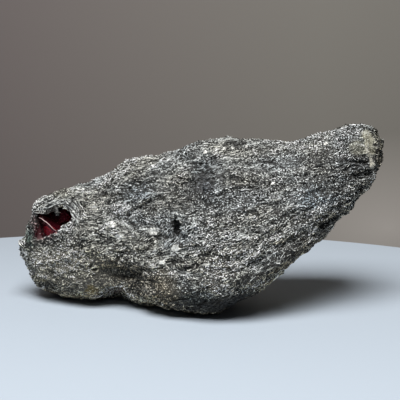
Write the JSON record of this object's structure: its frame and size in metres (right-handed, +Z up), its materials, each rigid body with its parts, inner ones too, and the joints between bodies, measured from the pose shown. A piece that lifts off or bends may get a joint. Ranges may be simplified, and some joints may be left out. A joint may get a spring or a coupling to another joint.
{
  "type": "raw nuummite specimen",
  "caption": "Rough lump of foliated grey amphibole rock that rests on a flat foot, its high end overhanging, with dark red garnet crystals in a pocket at its low end.",
  "frame": {"origin": "on the surface the stone rests on, under the middle of its bounding box", "axes": "+X along the stone from its low garnet-bearing end to its high overhanging end, -Y towards its best face, +Z up"},
  "size_m": [0.1896, 0.0854, 0.0915],
  "materials": {
    "stone": "rough broken foliated rock, a felt of pale needles and flakes on a dark ground, with small glints",
    "garnet": "glassy dark red crystal, clear only where it is thin"
  },
  "bodies": {
    "root": {"stone": "stone", "garnet": "garnet"}
  },
  "joints": []
}
